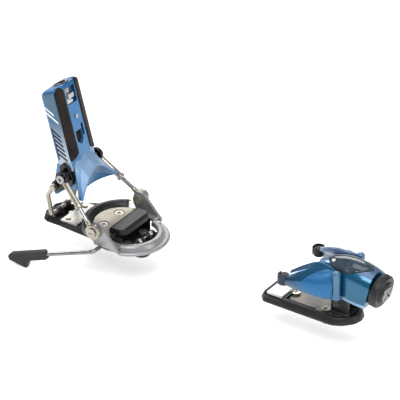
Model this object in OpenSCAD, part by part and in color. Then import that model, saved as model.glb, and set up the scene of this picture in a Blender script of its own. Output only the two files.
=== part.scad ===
/* [Fit to boot and ski] */
// From the turntable axis to the toe piece's wing pins
toe_spacing = 275.5; // [262:0.5:340]
// Radius of the curve that the heel cup's inner wall follows
heel_curve_r = 43; // [40:0.5:46]
// Height of the wings' contact pads above the ski
pad_z = 42; // [41:0.5:44]

/* [Heel turntable] */
// Radius of the fixed hub that the turntable turns on
hub_r = 30; // [29:0.5:30.5]
// Height of the fixed hub under its disc
hub_h = 16; // [15.5:0.5:17]
// Spacing of the heel screws along the ski
heel_screw_dx = 30; // [26:1:30]
// Spacing of the heel screws across the ski
heel_screw_dy = 28; // [26:1:30]
// Height of the arm pivots above the ski
lug_z = 26.3; // [25.5:0.1:27]
// Distance of the ears' inner faces from the middle
ear_y = 37.3; // [37:0.1:38]

/* [Heel housing] */
// Lean of the closed housing towards the tail, in degrees
housing_lean = 13.4; // [12:0.1:15]
// Length of the housing above the arm bolts
housing_len = 90; // [86:1:94]
// Half width of the housing
housing_hw = 20.4; // [19.6:0.2:20.8]
// Turns of the heel spring
heel_turns = 9; // [6:1:11]

/* [Brake] */
// Radius of the brake wire
brake_wire_r = 2.25; // [2:0.05:2.4]
// Distance of the brake arms from the middle at their bend
brake_y = 50; // [49.5:0.5:54]
// Angle of the deployed brake arms below the ski's top, in degrees
brake_drop = 18.5; // [16:0.5:22]
// Length of the brake arms from their bend to the tip's end
brake_len = 105; // [98:1:112]

/* [Toe piece] */
// Distance of each wing pin from the middle
wing_pin_y = 22.5; // [22:0.5:23]
// Height of the toe body's ridge
toe_top = 67; // [66.5:0.5:68]
// Downward tilt of the toe spring's axis, in degrees
toe_tilt = 12; // [10:0.5:13]
// Radius of the toe piece's front ring
ring_r = 18; // [17:0.5:18.5]
// Turns of the toe spring
toe_turns = 7; // [5:1:9]

/* [Hidden] */
$fn = 48;

// Gaps: a running fit, a plain gap between bodies, and the reach past a cut face
fit = 0.05;
swivel = 16;
gap = 0.4;
past = 1;

// Heel: pivots of the arms, the head and the stirrup, in the side view
lug_x = -7;
bolt_x = -54.5;
bolt_z = 68;
stirrup_foot = [-77, 12.3];
stirrup_head = [-68.5, 51];
pivot_r = 3.5;
bolt_r = 3;

// Heel: fixed hub, disc and floor
floor_h = 3.6;
disc_h = 3;
disc_top = hub_h + disc_h;
disc_r = hub_r + 1.6;
pit_x = 3;
pit_hw = 25;
tongue_x = 42;
tongue_hw = 24;
screw_r = 2.75;
screw_head_r = 4.8;
screw_depth = 9;

// Brake: its axle lies along Y, low in the hub
axle_x = -2.5;
axle_z = 7;
crank_y = 22;
pedal_top = 25;

// Turntable: ring, front crescent and rear tail
ring_in = hub_r + 0.4;
ring_out = 38;
ring_z = 10;
ring_h = 3.2;
crescent_x = 10;
crescent_in = 27;
crescent_out = 40;
crescent_half = 75;
ear_t = 3.2;
lug_in = ear_y + ear_t + gap;
lug_t = 5.4;
knuckle_in = housing_hw + 0.05;
knuckle_t = 3.6;
hook_in = knuckle_in + knuckle_t + gap;
eye_in = knuckle_in + knuckle_t + 4;
eye_t = 4.6;

// Toe: everything is drawn from the wing pins, then moved by toe_spacing
barrel_r = 4.3;
pin_r = 1.8;
wing_z = 32;
barrel_top = 66;
toe_axis_x = 38;
toe_axis_z = 43.5;
spring_bore = 9.6;
afd_z = 8;

// ---------------------------------------------------------------- helpers

function unit(v) = v / norm(v);

// Arc that rounds the corner b of a path, with radius r, in n steps
function corner(a, b, c, r, n) =
  let (
    u = unit(a - b), v = unit(c - b),
    half = acos(u * v) / 2,
    centre = b + unit(u + v) * r / sin(half),
    e1 = unit(b + u * r / tan(half) - centre),
    to_end = b + v * r / tan(half) - centre,
    e2 = unit(to_end - (to_end * e1) * e1),
    turn = 180 - 2 * half
  )
  [for (i = [0:n]) centre + r * (cos(turn * i / n) * e1 + sin(turn * i / n) * e2)];

// A path of straight runs with every inner corner rounded
function rounded(path, r, n = 5) = [
  path[0],
  for (i = [1:len(path) - 2]) each corner(path[i - 1], path[i], path[i + 1], r, n),
  path[len(path) - 1]
];

// A ring of points taken the other way round
function turned(ring) = [for (i = [len(ring) - 1:-1:0]) ring[i]];

// Solid through closed rings of equal length, each clockwise seen from the last one's side
module loft(rings) {
  n = len(rings[0]);
  m = len(rings);
  walls = [for (i = [0:m - 2], j = [0:n - 1])
    let (a = i * n + j, b = i * n + (j + 1) % n, c = b + n, d = a + n)
    each [[a, b, c], [a, c, d]]];
  caps = [[for (j = [n - 1:-1:0]) j], [for (j = [0:n - 1]) (m - 1) * n + j]];
  polyhedron([for (r = rings) each r], concat(walls, caps), convexity = 8);
}

// Round wire along a path that never runs parallel to the direction across
module wire(path, r, across, sides = 12) {
  last = len(path) - 1;
  loft([for (i = [0:last])
    let (
      t = unit(path[min(i + 1, last)] - path[max(i - 1, 0)]),
      e1 = unit(cross(across, t)), e2 = cross(t, e1)
    )
    [for (j = [0:sides - 1]) path[i] + r * (cos(-360 * j / sides) * e1 + sin(-360 * j / sides) * e2)]]);
}

// Coil spring along +Z from the origin, as one closed wire
module coil(r, wire_r, length, turns) {
  steps = 14;
  wire([for (i = [0:turns * steps])
    let (a = 360 * i / steps)
    [r * cos(a), r * sin(a), wire_r + (length - 2 * wire_r) * i / (turns * steps)]],
    wire_r, [0, 0, 1], 6);
}

// Cylinder between two points
module bar(p, q, r) {
  d = q - p;
  translate(p)
    rotate([0, acos(d.z / norm(d)), atan2(d.y, d.x)])
      cylinder(r = r, h = norm(d));
}

// Cylinder along +Y from y0 to y1 at (x, z)
module across_y(x, z, y0, y1, r) {
  translate([x, y1, z])
    rotate([90, 0, 0])
      cylinder(r = r, h = y1 - y0);
}

// Outline in the XZ plane, given its thickness along +Y from y0
module side_plate(outline, y0, t) {
  translate([0, y0 + t, 0])
    rotate([90, 0, 0])
      linear_extrude(t)
        polygon(outline);
}

// Bar of wedge-free rectangular section between opposite corners
module block(low, high) {
  translate(low)
    cube(high - low);
}

module mirror_y(on) {
  mirror([0, on ? 1 : 0, 0])
    children();
}

// ---------------------------------------------------------------- fixed heel parts

heel_holes = [for (sx = [-1, 1], sy = [-1, 1]) [sx * heel_screw_dx / 2, sy * heel_screw_dy / 2]];

module heel_base() {
  color([0.09, 0.09, 0.1])
    difference() {
      union() {
        cylinder(r = hub_r, h = hub_h, $fn = 96);
        linear_extrude(floor_h) {
          translate([0, 8 - tongue_hw])
            square([tongue_x, 2 * tongue_hw - 16]);
          translate([0, -tongue_hw])
            square([tongue_x - 8, 2 * tongue_hw]);
          for (s = [-1, 1])
            translate([tongue_x - 8, s * (tongue_hw - 8)])
              circle(r = 8);
        }
      }
      block([pit_x, -pit_hw, floor_h], [hub_r + past, pit_hw, hub_h + past]);
      for (s = [-1, 1])
        block([axle_x - 5, s > 0 ? crank_y - 3.5 : -pit_hw, floor_h],
              [pit_x + past, s > 0 ? pit_hw : 3.5 - crank_y, hub_h + past]);
      across_y(axle_x, axle_z, -hub_r - past, hub_r + past, brake_wire_r + fit);
      for (p = heel_holes)
        translate([p.x, p.y, -past])
          cylinder(r = screw_r + fit, h = hub_h + 2 * past);
    }
}

module heel_disc() {
  color([0.72, 0.70, 0.64])
    difference() {
      translate([0, 0, hub_h])
        rotate_extrude($fn = 96)
          polygon([[0, 0], [disc_r - 0.8, 0], [disc_r, 0.8], [disc_r, disc_h - 0.8],
                   [disc_r - 0.8, disc_h], [0, disc_h]]);
      block([pit_x, -disc_r - past, hub_h - past], [disc_r + past, disc_r + past, disc_top + past]);
      for (s = [-1, 1])
        block([pit_x - 4, s * crank_y - 3.6, hub_h - past], [pit_x + past, s * crank_y + 3.6, disc_top + past]);
      for (p = heel_holes)
        translate([p.x, p.y, hub_h - past])
          cylinder(r = screw_head_r + 0.7, h = disc_h + 2 * past);
    }
}

// Countersunk ski screw whose head stands on the height z
neck_z = 0.4;

module ski_screw(x, y, z, head_h = 2.4) {
  translate([x, y, 0]) {
    translate([0, 0, -screw_depth])
      cylinder(r = screw_r, h = screw_depth - neck_z);
    translate([0, 0, -screw_depth / 2])
      cylinder(r = screw_r - 0.5, h = z + screw_depth / 2);
    difference() {
      translate([0, 0, z])
        cylinder(r = screw_head_r, h = head_h);
      for (a = [0, 90])
        translate([0, 0, z + head_h])
          rotate([0, 0, a + 20])
            cube([5.4, 1.3, 2.6], center = true);
    }
  }
}

module heel_screws() {
  color([0.75, 0.74, 0.70])
    for (p = heel_holes)
      ski_screw(p.x, p.y, p.x < 0 ? hub_h : floor_h);
}

// Room inside the turning ring's crescent, with the ring turned by an angle
module ring_sweep(angle) {
  rotate([0, 0, angle])
    translate([crescent_x, 0, 0])
      cylinder(r = crescent_in - 0.5, h = 20, $fn = 96);
}

module brake_bracket() {
  color([0.07, 0.07, 0.08])
    intersection() {
      difference() {
        union() {
          block([23, -18, floor_h], [31, 18, 4.7]);
          for (y = [-14, -5, 5, 14])
            side_plate([[23, floor_h], [33, floor_h], [33, 7], [29, 11], [24.8, 11], [23, 8.8]], y - 1.5, 3);
        }
        across_y(26.5, 8.6, -20, 20, 1.3);
      }
      ring_sweep(-swivel);
      ring_sweep(0);
      ring_sweep(swivel);
    }
}

module brake_spring() {
  color([0.78, 0.78, 0.8]) {
    across_y(26.5, 8.6, -15.5, 15.5, 1.25);
    for (s = [-1, 1])
      translate([26.5, s > 0 ? 6.8 : -12.2, 8.6])
        rotate([-90, 0, 0])
          coil(3.1, 0.6, 5.4, 2.5);
  }
}

// ---------------------------------------------------------------- turntable

ear_outline = [[-8, 9.4], [-13.6, 20], [-13, 30], [-9, 34.4], [-3, 34.4], [1, 31.6], [21, 10.4],
               [21.5, 8], [14, 8], [9, 9.4]];

module turntable_ring() {
  color([0.70, 0.70, 0.71])
    difference() {
      union() {
        translate([0, 0, ring_z])
          difference() {
            cylinder(r = ring_out, h = ring_h, $fn = 96);
            block([crescent_x, -ring_out - past, -past], [ring_out + past, ring_out + past, ring_h + past]);
          }
        translate([crescent_x, 0, 0])
          rotate([0, 0, -crescent_half])
            rotate_extrude(angle = 2 * crescent_half, $fn = 96)
              polygon([[crescent_in, 7.2], [32, 7.2], [33.5, 4.8], [crescent_out, 4.8], [crescent_out, 6.6],
                       [38.6, 7.8], [35.2, 7.8], [33.4, 11.4], [31.6, 12.6], [28.4, 12.6], [crescent_in, 11.2]]);
        for (s = [-1, 1]) {
          side_plate(ear_outline, s > 0 ? ear_y : -ear_y - ear_t, ear_t);
          block([-6, s > 0 ? 30.2 : -ear_y - past, ring_z], [19, s > 0 ? ear_y + past : -30.2, ring_z + ring_h]);
        }
      }
      translate([0, 0, ring_z - 6])
        cylinder(r = ring_in, h = 14, $fn = 96);
      for (left = [false, true])
        mirror_y(!left)
          bar(arm_foot, arm_foot + 16 * arm_dir, 3.5);
      for (s = [-1, 1])
        across_y(lug_x, lug_z, s > 0 ? ear_y - past : -ear_y - ear_t - past,
                 s > 0 ? ear_y + ear_t + past : past - ear_y, pivot_r + fit);
    }
}

module turntable_collar() {
  color([0.06, 0.06, 0.07])
    rotate([0, 0, 116])
      rotate_extrude(angle = 128, $fn = 96)
        polygon([[disc_r + 0.5, ring_z + ring_h], [43, ring_z + ring_h], [43.4, 18], [41.6, 22.4],
                 [39.8, 23.2], [36.6, 23.2], [disc_r + 0.5, 19.2]]);
}

tail_end = -92;
pressure_z = 3.2;
pressure_r = 1.6;

// Tail section at x: half width at the foot, half width at the top, and height of the top
function tail_ring(x, foot, top, z) = [
  [x, -foot, 1.2], [x, -foot, 2.6], [x, -top, z], [x, -top + 3, z + 0.2], [x, 3 - foot * 0.5, z - 1.4],
  [x, foot * 0.5 - 3, z - 1.4], [x, top - 3, z + 0.2], [x, top, z], [x, foot, 2.6], [x, foot, 1.2]
];

module turntable_tail() {
  color([0.06, 0.06, 0.07])
    difference() {
      union() {
        difference() {
          loft([tail_ring(tail_end - past, 9.6, 7.6, 6.5), tail_ring(tail_end + 3, 16.5, 13.5, 7),
                tail_ring(tail_end + 8, 19, 16, 7.4), tail_ring(-68, 19, 16.6, 8.4),
                tail_ring(-48, 20.5, 19, 9.7), tail_ring(-24, 22, 21, 9.7)]);
          cylinder(r = ring_in + 0.6, h = 40, center = true, $fn = 96);
          block([tail_end - 3, -30, 0], [tail_end, 30, 10]);
        }
        for (s = [-1, 1])
          side_plate([[-81.5, 4], [-72.5, 4], [-73.2, 13], [-75, 15.6], [-79, 15.6], [-80.8, 13]],
                     s > 0 ? 5 : -10, 5);
      }
      across_y(stirrup_foot.x, stirrup_foot.y, -30, 30, 2.5 + fit);
      for (p = rivet_places)
        translate([p.x, p.y, 3])
          cylinder(r = 1.6 + fit, h = 20);
      translate([tail_end - past, 0, pressure_z])
        rotate([0, 90, 0])
          cylinder(r = pressure_r + fit, h = 12);
      block([-72, -2.6, 5.2], [-60, 2.6, 20]);
    }
}

rivet_places = [for (s = [-1, 1]) [-59, s * 15]];

module tail_plate() {
  color([0.78, 0.77, 0.74])
    difference() {
      block([-64, -22, 10], [-44, 22, 11.4]);
      cylinder(r = 44, h = 40, center = true, $fn = 96);
      for (p = rivet_places)
        translate([p.x, p.y, 3])
          cylinder(r = 1.6 + fit, h = 20);
    }
}

module tail_rivets() {
  color([0.7, 0.7, 0.7])
    for (p = rivet_places)
      translate([p.x, p.y, 4]) {
        cylinder(r = 1.6, h = 7.4);
        translate([0, 0, 7.4])
          cylinder(r = 2.8, h = 1.2);
      }
}

module lug_pin(left) {
  color([0.62, 0.60, 0.55])
    mirror_y(!left)
      difference() {
        union() {
          across_y(lug_x, lug_z, ear_y - 1.2, lug_in + lug_t + gap, pivot_r);
          across_y(lug_x, lug_z, lug_in + lug_t + gap, lug_in + lug_t + gap + 1.6, pivot_r + 1.6);
          across_y(lug_x, lug_z, ear_y - 2.6, ear_y - gap, pivot_r + 1.8);
        }
        translate([lug_x, lug_in + lug_t + 2.6, lug_z])
          cube([5, 2.4, 1.3], center = true);
      }
}

module pressure_screw() {
  color([0.75, 0.74, 0.7])
    difference() {
      translate([tail_end - 1.4, 0, pressure_z])
        rotate([0, 90, 0])
          cylinder(r = pressure_r, h = 10.4);
      translate([tail_end - 1.4, 0, pressure_z])
        cube([1.6, 2.6, 0.8], center = true);
    }
}

module pressure_indicator() {
  color([0.85, 0.85, 0.83])
    block([-68.5, -2.2, 5.6], [-63.5, 2.2, 9.2]);
}

// ---------------------------------------------------------------- arms and stirrup

arm_foot = [lug_x, lug_in + lug_t / 2, lug_z];
arm_top = [bolt_x, eye_in + eye_t / 2, bolt_z];
arm_dir = unit(arm_top - arm_foot);
arm_len = norm(arm_top - arm_foot);
sleeve_start = 0.44 * arm_len;

module arm_lug(left) {
  color([0.72, 0.70, 0.62])
    mirror_y(!left)
      difference() {
        union() {
          across_y(lug_x, lug_z, lug_in, lug_in + lug_t, 8);
          bar(arm_foot, arm_foot + 12.5 * arm_dir, 2.65);
        }
        across_y(lug_x, lug_z, lug_in - past, lug_in + lug_t + past, pivot_r + fit);
        bar(arm_foot + 9 * arm_dir, arm_foot + 14 * arm_dir, 2.1);
      }
}

module arm_rod(left) {
  color([0.8, 0.8, 0.8])
    mirror_y(!left)
      bar(arm_foot + 9 * arm_dir, arm_foot + (sleeve_start + 3) * arm_dir, 2.1);
}

module arm_sleeve(left) {
  color([0.84, 0.82, 0.78])
    mirror_y(!left)
      difference() {
        union() {
          bar(arm_foot + sleeve_start * arm_dir, arm_foot + (sleeve_start + 3.4) * arm_dir, 4.3);
          bar(arm_foot + sleeve_start * arm_dir, arm_foot + (arm_len - 5.6) * arm_dir, 3.3);
        }
        bar(arm_foot + (sleeve_start - past) * arm_dir, arm_foot + (sleeve_start + 3) * arm_dir, 2.1);
        across_y(bolt_x, bolt_z, eye_in - past, eye_in + eye_t + past, 7.6);
      }
}

module arm_eye(left) {
  color([0.07, 0.07, 0.08])
    mirror_y(!left)
      difference() {
        across_y(bolt_x, bolt_z, eye_in, eye_in + eye_t, 7.6);
        across_y(bolt_x, bolt_z, eye_in - past, eye_in + eye_t + past, bolt_r + fit);
      }
}

// One side's run of the stirrup wire, from its foot up to the hook at the head
function stirrup_side(s) = [
  [stirrup_foot.x, s * 19.2, stirrup_foot.y],
  [-76.4, s * 26.4, 39.6],
  [stirrup_head.x, s * 28, stirrup_head.y + 0.6]
];

module stirrup() {
  color([0.66, 0.65, 0.63]) {
    across_y(stirrup_foot.x, stirrup_foot.y, -15.5, 15.5, 2.5);
    for (s = [-1, 1]) {
      side = stirrup_side(s);
      foot = rounded([[stirrup_foot.x, s * 14.5, stirrup_foot.y], side[0], side[1], side[2]], 4.5);
      wire(foot, 2.45, unit([1, 0.02, 0.06]), 12);
      across_y(stirrup_head.x, stirrup_head.y, s > 0 ? hook_in : -30.4, s > 0 ? 30.4 : -hook_in, 3.6);
    }
  }
}

// ---------------------------------------------------------------- heel head

// The housing is drawn upright around its own axis, then leaned back
module leaned() {
  translate([-58.3, 0, 72.8])
    rotate([0, -housing_lean, 0])
      children();
}

// Front face's distance from the axis at the height w: the housing tapers upwards
function front_u(w) = 14.6 - 0.036 * w;
function rear_u(w) = -9.8 - 0.04 * w;

// Half section of the housing, corner by corner from front to rear, pulled in by d
function housing_half(w, d) = [
  [front_u(w) + 0.3 - d, 4], [front_u(w) - d, 9 - d * 0.6], [front_u(w) - 3.8 - d * 0.6, housing_hw - 0.4 - d * 0.8],
  [front_u(w) - 5.4 - d * 0.4, housing_hw - d], [rear_u(w) + 5, housing_hw - d], [rear_u(w) + 1.6, housing_hw - 2 - d],
  [rear_u(w) + 0.2 + d, housing_hw - 6 - d * 0.7], [rear_u(w) + d, 5]
];

function housing_ring(w, d = 0) =
  let (half = housing_half(w, d))
  [for (p = half) [p.x, -p.y, w], for (p = turned(half)) [p.x, p.y, w]];

module heel_housing() {
  color([0.20, 0.42, 0.63])
    difference() {
      union() {
        leaned()
          loft([housing_ring(-2), housing_ring(20), housing_ring(45), housing_ring(70),
                housing_ring(housing_len - 6), housing_ring(housing_len - 3, 0.6),
                housing_ring(housing_len - 1, 1.6), housing_ring(housing_len, 2.8)]);
        side_plate([[-47, 72], [-46, 52], [-50, 48], [-61, 46], [-70, 38], [-73.5, 36.5], [-75.5, 39], [-75, 48],
                    [-73, 60], [-71, 74]], -17.4, 34.8);
      }
      leaned() {
        translate([0, 0, 6])
          cylinder(r = 8.2, h = 70);
        translate([0, 0, 70])
          cylinder(r = 6 + fit, h = 30);
        translate([0, 0, housing_len - 1.2])
          cylinder(r = 8.2, h = 4);
        block([9.5, -6, 66], [20, 6, 84]);
        block([-1, -2.2, 66], [9.6, 2.2, 84]);
        translate([front_u(52) - 2, 0, 52])
          rotate([0, 90, 0]) {
            cylinder(r = 1.5 + fit, h = 10);
            translate([0, 0, 2.1])
              cylinder(r = 2.2 + fit, h = 6);
          }
        block([front_u(28) - 3, -5.5, 22], [20, 6.5, 36]);
      }
    }
}

// Cup: t runs from 0 in the middle to 1 at each spike's tip
function cup_low(t) = [-heel_curve_r - 1 + 13 * pow(t, 2.6), 47 + 3.2 * t * t];
function cup_lip(t) = [-32.5 + 6 * t * t, 75 - 32 * pow(t, 1.6) + 7.6 * pow(t, 4)];
function cup_back(t) =
  let (u = max(0, t - 0.455) / 0.545)
  [-51.5 + 22.5 * pow(u, 1.15), 92 - 6 * min(1, t / 0.455) - 32.8 * pow(u, 0.8)];

// Section of the cup: up the inner wall, round the lip, over the saddle and down the back
function cup_section(t) =
  let (low = cup_low(t), lip = cup_lip(t), back = cup_back(t), k = 1 - t)
  [low, [low.x + 1.6 * k, (low.y + lip.y) / 2], [(low.x + lip.x) / 2 + 1.5 * k, lip.y - 2.5 * k],
   lip, lip + [-0.8, 2.4 - 1.2 * t], (lip + back) / 2 - [0.8, 1.2] * k, back, [low.x - 1.4 - 1.8 * k, low.y + 0.6]];

knuckle_outline = [[-63, 77], [-59, 80.5], [-53, 78], [-46.5, 67], [-46, 60], [-50, 54], [-60, 48.4], [-66, 44.5],
                   [-72.6, 46], [-74, 53], [-68, 60], [-64, 68]];

module heel_cup() {
  steps = 16;
  color([0.27, 0.52, 0.76])
    difference() {
      loft([for (i = [-steps:steps]) let (t = i / steps)
              [for (p = cup_section(abs(t))) [p.x, 33 * t, p.y]]]);
      side_plate([[-45.6, 74], [-45.6, 40], [-80, 40], [-80, 74]], -17.4, 34.8);
      side_plate([[-58, 90], [-57, 81], [-52.6, 78.4], [-46.1, 67.1], [-45.6, 59.8], [-49.8, 53.6], [-60, 40],
                  [-80, 40], [-80, 90]], -40, 80);
      leaned()
        loft([housing_ring(-2.2), housing_ring(30)]);
    }
}

// Padded strip over one of the housing's front corners
module housing_strip(left) {
  color([0.16, 0.14, 0.13])
    leaned()
      mirror_y(!left) {
        rings = [for (w = [12, 17, 30, 48, 66, 78, 82])
          let (
            narrow = w < 14 ? 0.35 : w > 80 ? 0.45 : 1, mid = (1 - narrow) / 2,
            a = [front_u(w) + 0.02, 9.2], b = [front_u(w) - 3.78, housing_hw - 0.36],
            p = a + mid * (b - a), q = b - mid * (b - a), out = 1.3 * unit([b.y - a.y, a.x - b.x])
          )
          [[p.x, p.y, w], [q.x, q.y, w], [q.x + out.x, q.y + out.y, w], [p.x + out.x, p.y + out.y, w]]];
        loft([for (r = rings) turned(r)]);
      }
}

module knuckle(left) {
  color([0.07, 0.07, 0.08])
    mirror_y(!left)
      difference() {
        union() {
          side_plate(knuckle_outline, knuckle_in, knuckle_t);
          across_y(bolt_x, bolt_z, knuckle_in + 1, eye_in - 0.5, 6.2);
        }
        across_y(bolt_x, bolt_z, knuckle_in - past, eye_in + past, bolt_r);
      }
}

module arm_bolts() {
  color([0.8, 0.8, 0.8])
    for (s = [-1, 1])
      mirror_y(s < 0)
        difference() {
          union() {
            across_y(bolt_x, bolt_z, knuckle_in, eye_in + eye_t + 0.5, bolt_r);
            across_y(bolt_x, bolt_z, eye_in + eye_t + 0.5, eye_in + eye_t + 2.3, 4.6);
          }
          translate([bolt_x, eye_in + eye_t + 2.3, bolt_z])
            rotate([90, 0, 0])
              cylinder(r = 2.2, h = 2.6, center = true, $fn = 6);
        }
}

module housing_cap() {
  color([0.10, 0.10, 0.11])
    leaned()
      difference() {
        translate([0, 0, housing_len - 1.2])
          cylinder(r = 8.2, h = 1.8);
        translate([0, 0, housing_len - 1.2 - past])
          cylinder(r = 6 + fit, h = 6);
      }
}

module housing_rivet() {
  color([0.85, 0.85, 0.85])
    leaned()
      translate([front_u(52) - 1.9, 0, 52])
        rotate([0, 90, 0]) {
          cylinder(r = 1.5, h = 3);
          translate([0, 0, 2.05])
            cylinder(r = 2.2, h = 1);
        }
}

module heel_spring() {
  color([0.6, 0.6, 0.62])
    leaned()
      translate([0, 0, 14.5])
        coil(5.9, 1.3, 49, heel_turns);
}

module heel_plunger() {
  color([0.75, 0.75, 0.76])
    leaned()
      translate([0, 0, 6.2]) {
        cylinder(r = 7.8, h = 8);
        cylinder(r = 3, h = 30);
      }
}

module heel_release_screw() {
  color([0.8, 0.8, 0.8])
    leaned()
      difference() {
        translate([0, 0, 64.5])
          cylinder(r = 6, h = housing_len - 64.3);
        for (slot = [[1.8, 9, 4], [9, 1.8, 4]])
          translate([0, 0, housing_len + 0.2])
            cube(slot, center = true);
      }
}

module heel_indicator() {
  color([0.86, 0.86, 0.84])
    leaned()
      block([9.9, -4.6, 72.4], [12.1, 4.6, 77.6]);
}

// ---------------------------------------------------------------- brake

arm_slope = [-cos(brake_drop), 0.105, -sin(brake_drop)];
arm_bend = [axle_x, brake_y, axle_z];

module brake_arm(left) {
  wire_end = arm_bend + unit(arm_slope) * (brake_len - 44);
  color([0.36, 0.36, 0.37])
    mirror_y(!left) {
      across_y(axle_x, axle_z, crank_y - 2.2, brake_y - 6, brake_wire_r);
      wire(rounded([[axle_x, brake_y - 6, axle_z], arm_bend, wire_end], 4.5, 6), brake_wire_r,
           cross([0, 1, 0], arm_slope));
      wire(rounded([[axle_x + 0.6, crank_y, axle_z + 1], [axle_x + 3, crank_y, axle_z + 5],
                    [5, crank_y - 1.2, 16.45]], 3, 3), brake_wire_r - 0.2, [0, 1, 0]);
    }
}

// Tip: a long blade with a fang below its rear end, drawn flat and then laid along the arm
module brake_tip(left) {
  color([0.08, 0.08, 0.09])
    mirror_y(!left)
      translate(arm_bend)
        rotate([0, 0, atan2(arm_slope.y, arm_slope.x)])
          rotate([0, asin(sin(brake_drop)), 0])
            difference() {
              translate([0, 3, 0])
                rotate([90, 0, 0])
                  linear_extrude(6)
                    polygon([[brake_len - 47, 4.2], [brake_len - 45, 4.8], [brake_len - 4, 4.6], [brake_len - 1, 3.2],
                             [brake_len, 0.6], [brake_len - 0.6, -2.6], [brake_len - 5, -5], [brake_len - 16, -11.8],
                             [brake_len - 18.6, -12.6], [brake_len - 24, -4.9], [brake_len - 45, -4.8],
                             [brake_len - 47, -4.2]]);
              translate([brake_len - 50, 0, 0])
                rotate([0, 90, 0])
                  cylinder(r = brake_wire_r, h = 6);
            }
}

// Plan of half the pedal, rounded at the front so that it sinks between the hub's walls
pedal_plan = [[-2, 24.3], [8.5, 24.3], [12, 23.4], [15.4, 21.4], [18, 18.8], [20, 15.6]];

module brake_pedal() {
  color([0.08, 0.08, 0.09]) {
    intersection() {
      side_plate([[-1, 21.4], [0.4, 24.6], [2.4, pedal_top], [15, pedal_top], [18.4, 23.2], [19.2, 19.4],
                  [17.6, 18.4], [1.8, 19.7]], -27, 54);
      linear_extrude(30)
        polygon([for (p = pedal_plan) p, for (i = [len(pedal_plan) - 1:-1:0]) [pedal_plan[i].x, -pedal_plan[i].y]]);
    }
    for (s = [-1, 1])
      block([5, s > 0 ? 17 : -22.8, 18], [11, s > 0 ? 22.8 : -17, 20]);
  }
}

// ---------------------------------------------------------------- fixed toe parts

module at_toe() {
  translate([toe_spacing, 0, 0])
    children();
}

// Plan of the toe base, from its square rear end to its bowed front
function base_plan(d) = [
  [-92 + d, -20 + d], [-88 + d, -23.5 + d], [-3 - d * 0.4, -24 + d], [4 - d * 0.7, -18 + d * 0.6],
  [8.5 - d, -9], [10 - d, 0], [8.5 - d, 9], [4 - d * 0.7, 18 - d * 0.6], [-3 - d * 0.4, 24 - d],
  [-88 + d, 23.5 - d], [-92 + d, 20 - d]
];

toe_holes = [[-62.5, 0], [-20, -10], [-20, 10]];

module toe_base() {
  color([0.07, 0.07, 0.08])
    at_toe()
      difference() {
        loft([for (level = [[0, 0], [0.4, 2.4], [3, 8]])
                [for (p = turned(base_plan(level[0]))) [p.x, p.y, level[1]]]]);
        translate([-64.2, -16, 4])
          cube([65, 32, 8]);
        block([0, -12.3, 4], [7.3, 12.3, 12]);
        translate([toe_holes[0].x, toe_holes[0].y, 4])
          cylinder(r = screw_head_r + 0.3, h = 8);
        block([-88, -30, 5.6], [-66.4, 30, 12]);
        for (p = toe_holes)
          translate([p.x, p.y, -past])
            cylinder(r = screw_r + 0.5, h = 10);
      }
}

module toe_plate() {
  color([0.52, 0.50, 0.47])
    at_toe()
      difference() {
        union() {
          block([-63.8, -13, 4], [0.4, 13, 5.8]);
          block([-30, -15.6, 4], [0.4, 15.6, 5.8]);
          block([-13, -12, 5.8], [7, 12, 30.2]);
        }
        block([-8, -8, 8], [20, 8, 24]);
        for (p = toe_holes)
          translate([p.x, p.y, 0])
            cylinder(r = screw_r + 0.5, h = 12);
      }
}

module toe_screws() {
  color([0.7, 0.69, 0.66])
    at_toe()
      for (p = toe_holes)
        ski_screw(p.x, p.y, 5.8, 2.2);
}

// Toe body: half width at the top, half width at the side, top height and foot height
function toe_ring_at(x, top_hw, side_hw, top, foot) = [
  [x, 0, top], [x, top_hw * 0.7, top - 0.6], [x, top_hw, top - 2.4], [x, side_hw, top - 9],
  [x, side_hw, foot + 5], [x, side_hw - 2.5, foot], [x, 0, foot],
  [x, 2.5 - side_hw, foot], [x, -side_hw, foot + 5], [x, -side_hw, top - 9], [x, -top_hw, top - 2.4],
  [x, -top_hw * 0.7, top - 0.6]
];

// Shell of the toe body, pulled in by d
module toe_shell(d) {
  loft([toe_ring_at(-32, 8 - d, 11.4 - d, 56 - d, 45), toe_ring_at(-22, 9.4 - d, 12 - d, toe_top - 4.6 - d, 41),
        toe_ring_at(-11, 11 - d, 13 - d, toe_top - 0.8 - d, 34), toe_ring_at(0, 15.4 - d, 21 - d, toe_top - d, 31.6),
        toe_ring_at(12, 15 - d, 21 - d, toe_top - 1.2 - d, 30.4), toe_ring_at(24, 12.5 - d, 19.5 - d, 64.4 - d, 30),
        toe_ring_at(34, 9 - d, 16.6 - d, 62.8 - d, 28)]);
}

// Pointed oval of the window, pulled in by d
module window_oval(d) {
  translate([-1, 0, 50])
    linear_extrude(30)
      intersection_for(s = [-1, 1])
        translate([0, s * 18.4])
          circle(r = 31.4 - d, $fn = 96);
}

module toe_body() {
  color([0.16, 0.47, 0.72])
    at_toe()
      difference() {
        toe_shell(0);
        for (s = [-1, 1])
          translate([0, s * wing_pin_y, wing_z - 4])
            cylinder(r = barrel_r + gap, h = 60);
        toe_axis()
          translate([0, 0, -46])
            cylinder(r = spring_bore, h = 60);
        toe_axis()
          translate([0, 0, -5.3])
            cylinder(r = 26, h = 24, $fn = 96);
        window_oval(0);
      }
}

// Places its children on the toe spring's axis, +Z pointing forwards and down
module toe_axis() {
  translate([toe_axis_x, 0, toe_axis_z])
    rotate([0, 90 + toe_tilt, 0])
      children();
}

module toe_window() {
  color([0.35, 0.38, 0.4, 0.6])
    at_toe()
      difference() {
        intersection() {
          toe_shell(0);
          window_oval(0.05);
        }
        toe_shell(1.8);
        translate([-40, -30, 49])
          cube([80, 60, 4]);
      }
}

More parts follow.
